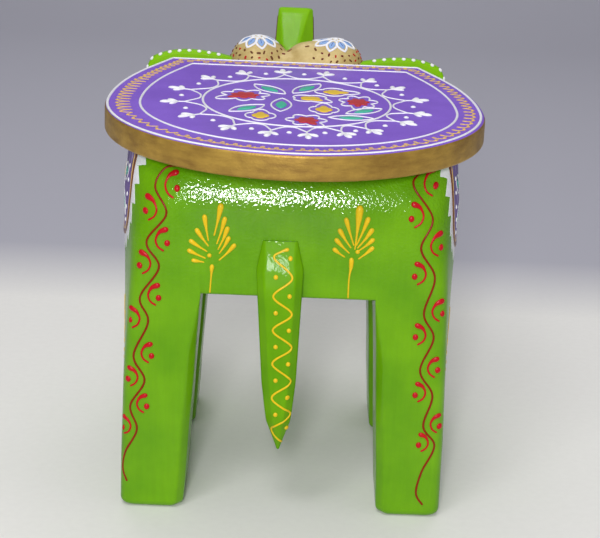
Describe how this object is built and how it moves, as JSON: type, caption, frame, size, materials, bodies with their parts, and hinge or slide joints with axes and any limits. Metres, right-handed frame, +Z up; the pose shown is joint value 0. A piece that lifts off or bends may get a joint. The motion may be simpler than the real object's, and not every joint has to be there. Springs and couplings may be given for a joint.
{
  "type": "elephant stool",
  "caption": "Low stool shaped as a standing elephant: flat seat board on four carved legs, with a twin-domed head, ears, raised trunk, tusks and tail, all painted.",
  "frame": {"origin": "on the floor, under the middle of the whole stool's length and width", "axes": "+Z up, +Y towards the elephant's head and trunk, +X towards the elephant's right side"},
  "size_m": [0.28, 0.392, 0.312],
  "materials": {
    "green_enamel": "brushed gloss enamel over carved wood",
    "seat_paint": "satin purple enamel with a gold painted rim",
    "gold_paint": "brushed gold paint",
    "white_paint": "white enamel",
    "bare_wood": "sawn mango wood",
    "iron_nail": "plain wire nail"
  },
  "bodies": {
    "root": {"seat_board": "seat_paint", "rear_left_leg": "green_enamel", "rear_right_leg": "green_enamel", "front_left_leg": "green_enamel", "front_right_leg": "green_enamel", "rump_block": "green_enamel", "chest_block": "green_enamel", "left_flank_block": "green_enamel", "right_flank_block": "green_enamel", "belly_board": "green_enamel", "corner_glue_blocks": "bare_wood", "frame_dowels": "bare_wood", "seat_nails": "iron_nail", "seat_putty_plugs": "seat_paint", "neck_block": "green_enamel", "neck_dowels": "bare_wood", "head_block": "gold_paint", "left_ear": "green_enamel", "right_ear": "green_enamel", "ear_nails": "iron_nail", "trunk": "green_enamel", "trunk_dowel": "bare_wood", "left_tusk": "white_paint", "right_tusk": "white_paint", "tail": "green_enamel", "tail_nails": "iron_nail", "tail_putty_plugs": "green_enamel"}
  },
  "joints": []
}
